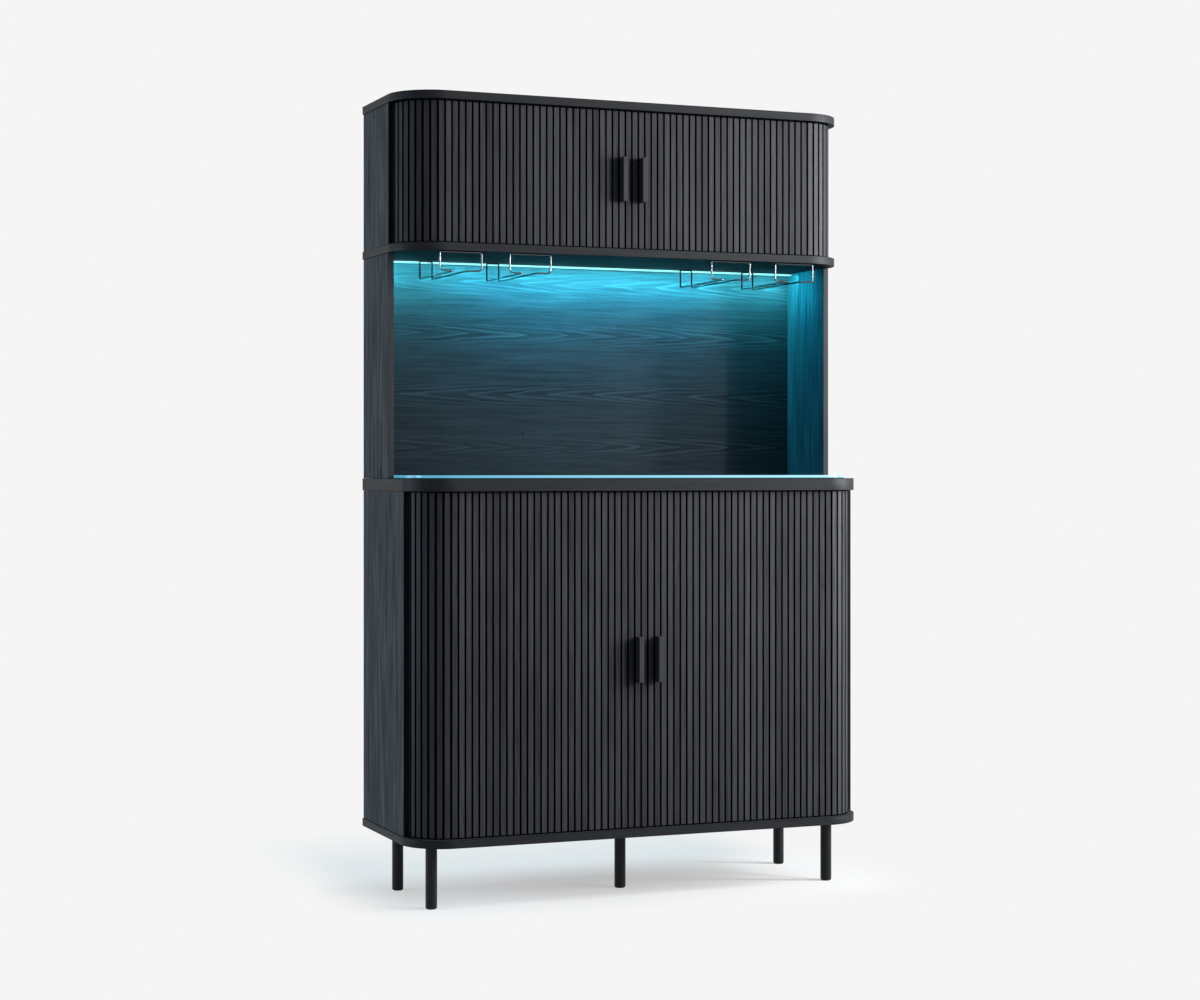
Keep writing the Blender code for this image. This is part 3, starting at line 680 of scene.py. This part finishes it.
def curtain(side, first, count, front, corner, z, shift):
    """A run of slats on its canvas, from slat number first, on one side of the meeting line."""
    places = []
    for i in range(first, first + count):
        s = (i + 0.5) * PITCH
        centre, turn = along_curtain(s, front, corner)
        matrix = (Matrix.Translation((side * centre.x, centre.y, 0)) @ Matrix.Rotation(side * turn, 4, "Z")
                  @ Matrix.Translation((0, -SLAT_DEPTH / 2, 0)))
        places.append((matrix, side * s + shift))
    bm = slats_at(places, z)
    # The canvas is one strip, made by drawing its end along the same line
    s0, s1 = first * PITCH + CANVAS_SHORT, (first + count) * PITCH - CANVAS_SHORT
    steps = 1 if s1 <= HALF_WIDTH - corner else 4 * count
    inner, outer = SLAT_DEPTH / 2, SLAT_DEPTH / 2 - CANVAS

    def end_at(s):
        """The four corners of the canvas's end at a distance s."""
        centre, turn = along_curtain(s, front, corner)
        normal = Vector((-math.sin(turn), math.cos(turn), 0))
        spots = []
        for off, height in ((outer, z[0]), (inner, z[0]), (inner, z[1]), (outer, z[1])):
            p = centre + normal * off
            spots.append(Vector((side * p.x, p.y, height)))
        return spots

    slat_faces = set(bm.faces)
    face = bm.faces.new([bm.verts.new(p) for p in end_at(s0)])
    for i in range(steps):
        grown = bmesh.ops.extrude_face_region(bm, geom=[face])["geom"]
        if i:
            bmesh.ops.delete(bm, geom=[face], context="FACES_ONLY")
        moved = [g for g in grown if isinstance(g, bmesh.types.BMVert)]
        face = [g for g in grown if isinstance(g, bmesh.types.BMFace)][0]
        for spot in end_at(s0 + (s1 - s0) * (i + 1) / steps):
            nearest = min(moved, key=lambda v: ((v.co - spot).length, v.index))
            nearest.co = spot
            moved.remove(nearest)
    strip = [face for face in bm.faces if face not in slat_faces]
    for face in strip:
        face.material_index = 2
    bmesh.ops.recalc_face_normals(bm, faces=strip)
    return bm


for level, front_node, corner, flat, closed_up, shift in (
        ("lower", "base_board", LOWER_CORNER, 28, 0.002, 0.0),
        ("upper", "shelf_board", UPPER_CORNER, 27, 0.003, 256 * PITCH)):
    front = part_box(front_node)[0].y
    for side, word in ((-1, "left"), (1, "right")):
        name = f"{level}_{word}"
        low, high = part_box(name + "_stile")
        looks = [ash_slat, slat_painted_shade, canvas]
        for part, first, count, body in (
                ("_stile", 0, STILE_SLATS, name + "_door"),
                ("_curtain", STILE_SLATS, flat - STILE_SLATS, "cabinet"),
                ("_corner", flat, CORNER_SLATS, "cabinet")):
            bm = curtain(side, first, count, front, corner, (low.z, high.z), shift)
            run = finish_piece(name + part + "_dressed", bm, looks, body, [name + part])
            if part == "_curtain":
                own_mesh(run)

# Handles
# Plain upright bars of steel, powder-coated black, with eased edges. Each stands on the second slat of its
# door's stile, and is screwed on from behind.

HANDLE_ARRIS = 0.0005
handle_coat = surface("handle_coat", (0.024, 0.0245, 0.028), (0.041, 0.0415, 0.048), 0.0, 0.45,
                      speckle=1400.0, bump=0.25, specular=0.07)
for level in ("lower", "upper"):
    for word in ("left", "right"):
        node = f"{level}_{word}_handle"
        bm = block(*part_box(node), arris=HANDLE_ARRIS, steps=3)
        finish_piece(node + "_dressed", bm, [handle_coat], f"{level}_{word}_door", [node])

# Worktop, shelf board and top board
# Veneered boards like the base, doweled to the side panels, each with a groove for the curtains beside it.
# The worktop is 30 mm thick, and the shelf board and top board are 20 mm and set back.

add_board("worktop", LOWER_CORNER, number=41, groove="down")
add_board("shelf_board", UPPER_CORNER, number=42, groove="up")
add_board("top_board", UPPER_CORNER, number=43, groove="down")

# Glass on the worktop
# A plate of clear toughened glass lies on the worktop and runs in between the niche's side panels. Its edge
# is ground and polished, and carries a painted blue-green glow: emission that stands in for the bar's light,
# brighter towards the right, with painted shade along its foot.

GLASS_CORNER = 0.079
GLASS_ARRIS = 0.0008
PAINTED_SHADE_FOOT = 0.0008
PAINTED_GLOW_FULL = 0.0026
clear, tree, shader = new_material("clear_glass")
shader.inputs["Base Color"].default_value = (0.93, 0.98, 0.975, 1)
shader.inputs["Transmission Weight"].default_value = 1.0
shader.inputs["IOR"].default_value = 1.5
smear = place_node(tree, "ShaderNodeTexNoise", {"Vector": object_place(tree), "Scale": 9.0, "Detail": 4.0})
smear = smear.outputs["Fac"]
tree.links.new(reckon(tree, "MULTIPLY_ADD", smear, 0.05, 0.005), shader.inputs["Roughness"])

low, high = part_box("worktop_glass")
painted_edge_glow, tree, shader = new_material("glass_edge_painted_glow")
x, y, z = split_place(tree, object_place(tree))
grind = stretched_noise(tree, reckon(tree, "MULTIPLY", x, 14.0), reckon(tree, "MULTIPLY", y, 14.0),
                        reckon(tree, "MULTIPLY", z, 500.0))
# Painted glow, brighter to the right, that fades to painted shade at the foot of the edge
level = reckon(tree, "MULTIPLY_ADD", x, 0.75, reckon(tree, "MULTIPLY_ADD", grind, 0.3, 0.30))
glow = blend(tree, level, (0.07, 0.36, 0.56, 1), (0.46, 0.86, 1.0, 1))
lit = ramp(tree, z, low.z + PAINTED_SHADE_FOOT, low.z + PAINTED_GLOW_FULL)
glow = blend(tree, lit, (0.003, 0.012, 0.02, 1), glow)
tree.links.new(glow, shader.inputs["Emission Color"])
shader.inputs["Emission Strength"].default_value = 1.0
shader.inputs["Base Color"].default_value = (0.02, 0.06, 0.07, 1)
shader.inputs["Roughness"].default_value = 0.18

bm = plate(low, high, GLASS_CORNER, GLASS_ARRIS, 2)
for face in bm.faces:
    face.material_index = 1 if abs(face.normal.z) < 0.9 else 0
finish_piece("worktop_glass_dressed", bm, [clear, painted_edge_glow], "cabinet", ["worktop_glass"])

# Stemware racks
# Four racks of 4 mm wire, plated in chrome whose colour is kept dark as a painted reflection of dark
# surroundings. Each is one closed wire: a hoop in front, and two rails that a stem slides between and that
# turn up at the rear. They are fixed under the shelf board.

WIRE = 0.002
RACK_SLOT = 0.032
WIDE_BEND = 0.009
TIGHT_BEND = 0.004
# Painted reflection: the chrome's colour is kept dark, standing in for the dark surroundings it reflects
chrome = surface("chrome_painted_dark_reflection", (0.095, 0.098, 0.103), (0.145, 0.149, 0.155), 1.0, 0.06, spread=0.06,
                 speckle=300.0, bump=0.03)


def bent_wire(corners, radius, sides=12, steps=6):
    """One closed wire through corners (x, y, z, bend radius), drawn straight and turned at each bend."""
    bm = bmesh.new()
    points = [Vector(corner[:3]) for corner in corners]
    here = start = (points[-1] + points[0]) / 2
    heading = (points[0] - points[-1]).normalized()
    turn = heading.to_track_quat("Z", "Y").to_matrix().to_4x4()
    end = bmesh.ops.create_circle(bm, segments=sides, radius=radius,
                                  matrix=Matrix.Translation(start) @ turn)["verts"]

    def draw(ring):
        """Draw out the wire's end, and return the new end's points."""
        ring = set(ring)
        rim = [edge for edge in bm.edges if ring.issuperset(edge.verts)]
        grown = bmesh.ops.extrude_edge_only(bm, edges=rim)["geom"]
        return [g for g in grown if isinstance(g, bmesh.types.BMVert)]

    for i, corner in enumerate(corners):
        point, bend = points[i], corner[3]
        after = (points[(i + 1) % len(points)] - point).normalized()
        end = draw(end)
        bmesh.ops.translate(bm, vec=point - heading * bend - here, verts=end)
        centre = point - heading * bend + after * bend
        step = Matrix.Rotation(math.pi / 2 / steps, 3, heading.cross(after))
        for _ in range(steps):
            end = draw(end)
            bmesh.ops.rotate(bm, cent=centre, matrix=step, verts=end)
        here, heading = point + after * bend, after
    bmesh.ops.translate(bm, vec=start - here, verts=draw(end))
    bmesh.ops.remove_doubles(bm, verts=bm.verts, dist=1e-5)
    bmesh.ops.recalc_face_normals(bm, faces=bm.faces)
    return bm


for number in range(1, 5):
    low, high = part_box(f"rack_{number}")
    left, right, near, far = low.x + WIRE, high.x - WIRE, low.y + WIRE, high.y - WIRE
    bottom, top = low.z + WIRE, high.z - WIRE
    rail_left, rail_right = (low.x + high.x - RACK_SLOT) / 2, (low.x + high.x + RACK_SLOT) / 2
    bm = bent_wire([
        (left, near, top, TIGHT_BEND), (right, near, top, TIGHT_BEND), (right, near, bottom, WIDE_BEND),
        (rail_right, near, bottom, WIDE_BEND), (rail_right, far, bottom, TIGHT_BEND),
        (rail_right, far, top, TIGHT_BEND), (rail_left, far, top, TIGHT_BEND),
        (rail_left, far, bottom, TIGHT_BEND), (rail_left, near, bottom, WIDE_BEND),
        (left, near, bottom, WIDE_BEND)], WIRE)
    finish_piece(f"rack_{number}_dressed", bm, [chrome], "cabinet", [f"rack_{number}"], smooth=60)

# Light
# A shallow aluminium channel under the rear of the shelf board holds a strip of diodes behind an opal bar
# that glows blue-green. Its light comes from unseen lamps under the bar: a short one that shines straight
# down, a long one towards the back, and one at each end.

DIODE_STEP = 0.0083
LED_LAMP_WIDE = 0.006
LED_FROM_BACK = 0.07
LED_END_X = 0.478
aluminium = surface("anodised_aluminium", (0.10, 0.10, 0.11), (0.15, 0.15, 0.16), 1.0, 0.36, spread=0.08,
                    speckle=500.0, stretch=(0.04, 1, 1))
dress("led_channel", aluminium)

tape, tree, shader = new_material("diode_tape")
run = split_place(tree, object_place(tree))[0]
cell = reckon(tree, "FRACT", reckon(tree, "DIVIDE", run, DIODE_STEP))
diode = reckon(tree, "LESS_THAN", reckon(tree, "ABSOLUTE", reckon(tree, "SUBTRACT", cell, 0.5)), 0.2)
colour = blend(tree, diode, (0.70, 0.72, 0.72, 1), (0.85, 0.80, 0.45, 1))
tree.links.new(colour, shader.inputs["Base Color"])
shader.inputs["Roughness"].default_value = 0.5
dress("led_strip", tape)

opal, tree, shader = new_material("opal_bar")
run = split_place(tree, object_place(tree))[0]
wave = reckon(tree, "SINE", reckon(tree, "MULTIPLY", run, 2 * math.pi / DIODE_STEP))
wave = reckon(tree, "MULTIPLY_ADD", wave, 0.25, 0.5)
glow = blend(tree, wave, (0.24, 0.50, 0.56, 1), (0.42, 0.64, 0.70, 1))
tree.links.new(glow, shader.inputs["Emission Color"])
shader.inputs["Emission Strength"].default_value = 1.0
shader.inputs["Base Color"].default_value = (0.02, 0.03, 0.03, 1)
shader.inputs["Roughness"].default_value = 0.45
dress("led_diffuser", opal)


def add_lamp(name, size, watts, colour, place, aim, mirrored=True, spread=180.0):
    """An oblong lamp at a place, aimed at a point."""
    light = bpy.data.lights.new(name, "AREA")
    light.shape = "RECTANGLE"
    light.size, light.size_y = size
    light.energy = watts
    light.color = colour
    light.spread = math.radians(spread)
    lamp = bpy.data.objects.new(name, light)
    bpy.context.scene.collection.objects.link(lamp)
    lamp.location = place
    lamp.rotation_mode = "QUATERNION"
    lamp.rotation_quaternion = (Vector(aim) - Vector(place)).to_track_quat("-Z", "Y")
    lamp.visible_camera = False
    lamp.visible_glossy = mirrored


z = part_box("led_diffuser")[0].z - 0.001
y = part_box("hutch_back")[0].y - LED_FROM_BACK
add_lamp("led_down", (0.72, LED_LAMP_WIDE), 15.0, (0.02, 0.61, 1.0), (0, y, z), (0, y, 0), mirrored=False)
add_lamp("led_rear", (1.15, LED_LAMP_WIDE), 18.0, (0.11, 0.88, 0.94), (0, y, z), (0, y + 1, z - 0.75),
         mirrored=False, spread=135.0)
y -= 0.02
for side, word in ((-1, "left"), (1, "right")):
    add_lamp("led_end_" + word, (0.10, LED_LAMP_WIDE), 1.25, (0.03, 0.76, 1.0), (side * LED_END_X, y, z),
             (side * 0.57, y, z - 0.07), mirrored=False, spread=120.0)

# Controller and inlet
# The lamp's controller is a small black plastic box on the upper back, hidden behind the false back. Its
# low-voltage inlet passes through the back.

FLANGE = 0.011
FLANGE_DEEP = 0.003
FLANGE_ARRIS = 0.0006
BARREL = 0.0076
SOCKET = 0.0028
SOCKET_FLOOR = 0.0052
PIN = 0.0008
INLET_ARRIS = 0.0004
black_plastic = surface("black_plastic", (0.016, 0.016, 0.017), (0.030, 0.030, 0.031), 0.0, 0.5,
                        speckle=1200.0, bump=0.2, specular=0.4)
dress("led_controller", black_plastic)
low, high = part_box("power_inlet")
x, z = (low.x + high.x) / 2, (low.z + high.z) / 2
deep = high.y - low.y
bm = turned([(0, 0), (FLANGE - FLANGE_ARRIS, 0), (FLANGE, FLANGE_ARRIS), (FLANGE, FLANGE_DEEP),
             (BARREL, FLANGE_DEEP), (BARREL, deep - INLET_ARRIS), (BARREL - INLET_ARRIS, deep),
             (SOCKET + INLET_ARRIS, deep), (SOCKET, deep - INLET_ARRIS), (SOCKET, SOCKET_FLOOR),
             (PIN, SOCKET_FLOOR), (PIN, deep - 2 * INLET_ARRIS), (0, deep - INLET_ARRIS)], 0, 0, steps=48)
turn = Matrix.Translation((x, low.y, z)) @ Matrix.Rotation(-math.pi / 2, 4, "X")
bmesh.ops.transform(bm, matrix=turn, verts=bm.verts)
for face in bm.faces:
    centre = face.calc_center_median()
    on_pin = math.hypot(centre.x - x, centre.z - z) < PIN + 1e-4 and centre.y > low.y + SOCKET_FLOOR
    face.material_index = 1 if on_pin else 0
finish_piece("power_inlet_dressed", bm, [black_plastic, zinc], "cabinet", ["power_inlet"])

# Studio
# A pale floor that runs into a pale backdrop, with the cabinet's shadow, painted light that makes the floor
# lighter towards the left, and a painted cool light behind the cabinet. A tall narrow key lamp, a soft one
# and a rim lamp stand on the right, and a cool one behind on the left. The camera has the photograph's
# viewing angle. It is level, with its view shifted down a little.

BACKDROP = 0.913
FLOOR_RADIUS = 9.0
SHADED_HALF_WIDE = 0.50
SHADED_MIDDLE_Y = 0.02
SHADED_HALF_DEEP = 0.12
SHADED_FADE = 0.28


def looked_at(tree):
    """One for camera, mirror and glass rays, which see the plain backdrop, and nought for light."""
    path = place_node(tree, "ShaderNodeLightPath").outputs
    return reckon(tree, "MAXIMUM", path["Is Camera Ray"],
                  reckon(tree, "MAXIMUM", path["Is Glossy Ray"], path["Is Transmission Ray"]))


world = bpy.data.worlds.new("studio")
bpy.context.scene.world = world
world.use_nodes = True
tree = world.node_tree
tree.nodes.clear()
lit = place_node(tree, "ShaderNodeBackground", {"Color": (0.84, 0.92, 1.0, 1), "Strength": 0.48})
plain = place_node(tree, "ShaderNodeBackground", {"Color": (1, 1, 1, 1), "Strength": BACKDROP})
mixed = place_node(tree, "ShaderNodeMixShader", {0: looked_at(tree)})
tree.links.new(lit.outputs[0], mixed.inputs[1])
tree.links.new(plain.outputs[0], mixed.inputs[2])
tree.links.new(mixed.outputs[0], place_node(tree, "ShaderNodeOutputWorld").inputs[0])

bm = bmesh.new()
bmesh.ops.create_circle(bm, cap_ends=True, segments=96, radius=FLOOR_RADIUS)
floor = as_object("floor", bm)
material, tree, shader = new_material("floor_paper")
tree.nodes.remove(shader)
x, y, _ = split_place(tree, object_place(tree))
beyond = []
for value, middle, half in ((x, 0.0, SHADED_HALF_WIDE), (y, SHADED_MIDDLE_Y, SHADED_HALF_DEEP)):
    off = reckon(tree, "ABSOLUTE", reckon(tree, "SUBTRACT", value, middle))
    beyond.append(reckon(tree, "MAXIMUM", reckon(tree, "SUBTRACT", off, half), 0.0))
reach = place_node(tree, "ShaderNodeCombineXYZ", {0: beyond[0], 1: beyond[1]}).outputs[0]
reach = place_node(tree, "ShaderNodeVectorMath", {0: reach}, operation="LENGTH").outputs["Value"]
away = ramp(tree, reach, 0.0, SHADED_FADE)
paper = place_node(tree, "ShaderNodeBsdfDiffuse", {"Color": (0.30, 0.30, 0.30, 1)})
# Painted light: the lift is lighter towards the left, which pales the shadow there
shade = blend(tree, ramp(tree, x, -0.05, -0.55), (0.445, 0.440, 0.438, 1), (0.520, 0.516, 0.520, 1))
lift = place_node(tree, "ShaderNodeEmission", {"Color": shade, "Strength": 1.0})
near = place_node(tree, "ShaderNodeAddShader")
tree.links.new(paper.outputs[0], near.inputs[0])
tree.links.new(lift.outputs[0], near.inputs[1])
# Painted cool light: a blue tint on the floor behind the cabinet
aside = reckon(tree, "ABSOLUTE", reckon(tree, "ADD", x, 0.05))
cool = reckon(tree, "MULTIPLY", ramp(tree, aside, 0.72, 0.48), ramp(tree, y, 1.25, 0.30))
cool = reckon(tree, "MULTIPLY", cool, ramp(tree, y, 0.05, 0.25))
painted_cool_light = blend(tree, cool, (1, 1, 1, 1), (0.78, 0.86, 0.89, 1))
plain = place_node(tree, "ShaderNodeEmission", {"Color": painted_cool_light, "Strength": BACKDROP})
shown = place_node(tree, "ShaderNodeMixShader", {0: away})
tree.links.new(near.outputs[0], shown.inputs[1])
tree.links.new(plain.outputs[0], shown.inputs[2])
bounce = place_node(tree, "ShaderNodeBsdfDiffuse", {"Color": (0.22, 0.23, 0.24, 1)})
whole = place_node(tree, "ShaderNodeMixShader", {0: looked_at(tree)})
tree.links.new(bounce.outputs[0], whole.inputs[1])
tree.links.new(shown.outputs[0], whole.inputs[2])
tree.links.new(whole.outputs[0], tree.nodes["Material Output"].inputs["Surface"])
floor.data.materials.append(material)

add_lamp("key", (0.20, 1.2), 160.0, (1.0, 0.985, 0.975), (3.53, -3.33, 2.1), (0.2, 0, 1.2))
add_lamp("soft_key", (0.8, 1.4), 48.0, (1.0, 0.985, 0.985), (2.1, -1.6, 2.0), (0.4, 0, 1.4))
add_lamp("cool_fill", (1.6, 2.0), 88.0, (0.56, 0.81, 1.0), (-4.3, 1.3, 1.1), (-0.6, 0, 0.9))
add_lamp("rim", (0.3, 2.0), 235.0, (0.95, 0.98, 1.0), (3.1, -1.3, 1.6), (0.6, -0.1, 1.4))

camera = bpy.data.objects.new("camera", bpy.data.cameras.new("camera"))
bpy.context.scene.collection.objects.link(camera)
camera.location = (-2.2504, -5.4564, 1.0462)
camera.rotation_euler = (math.pi / 2, 0, math.radians(-21.992))
camera.data.lens = 70.38
camera.data.sensor_width = 36
camera.data.shift_y = -0.0248
camera.data.clip_end = 100
bpy.context.scene.camera = camera
bpy.context.scene.view_settings.view_transform = "Standard"
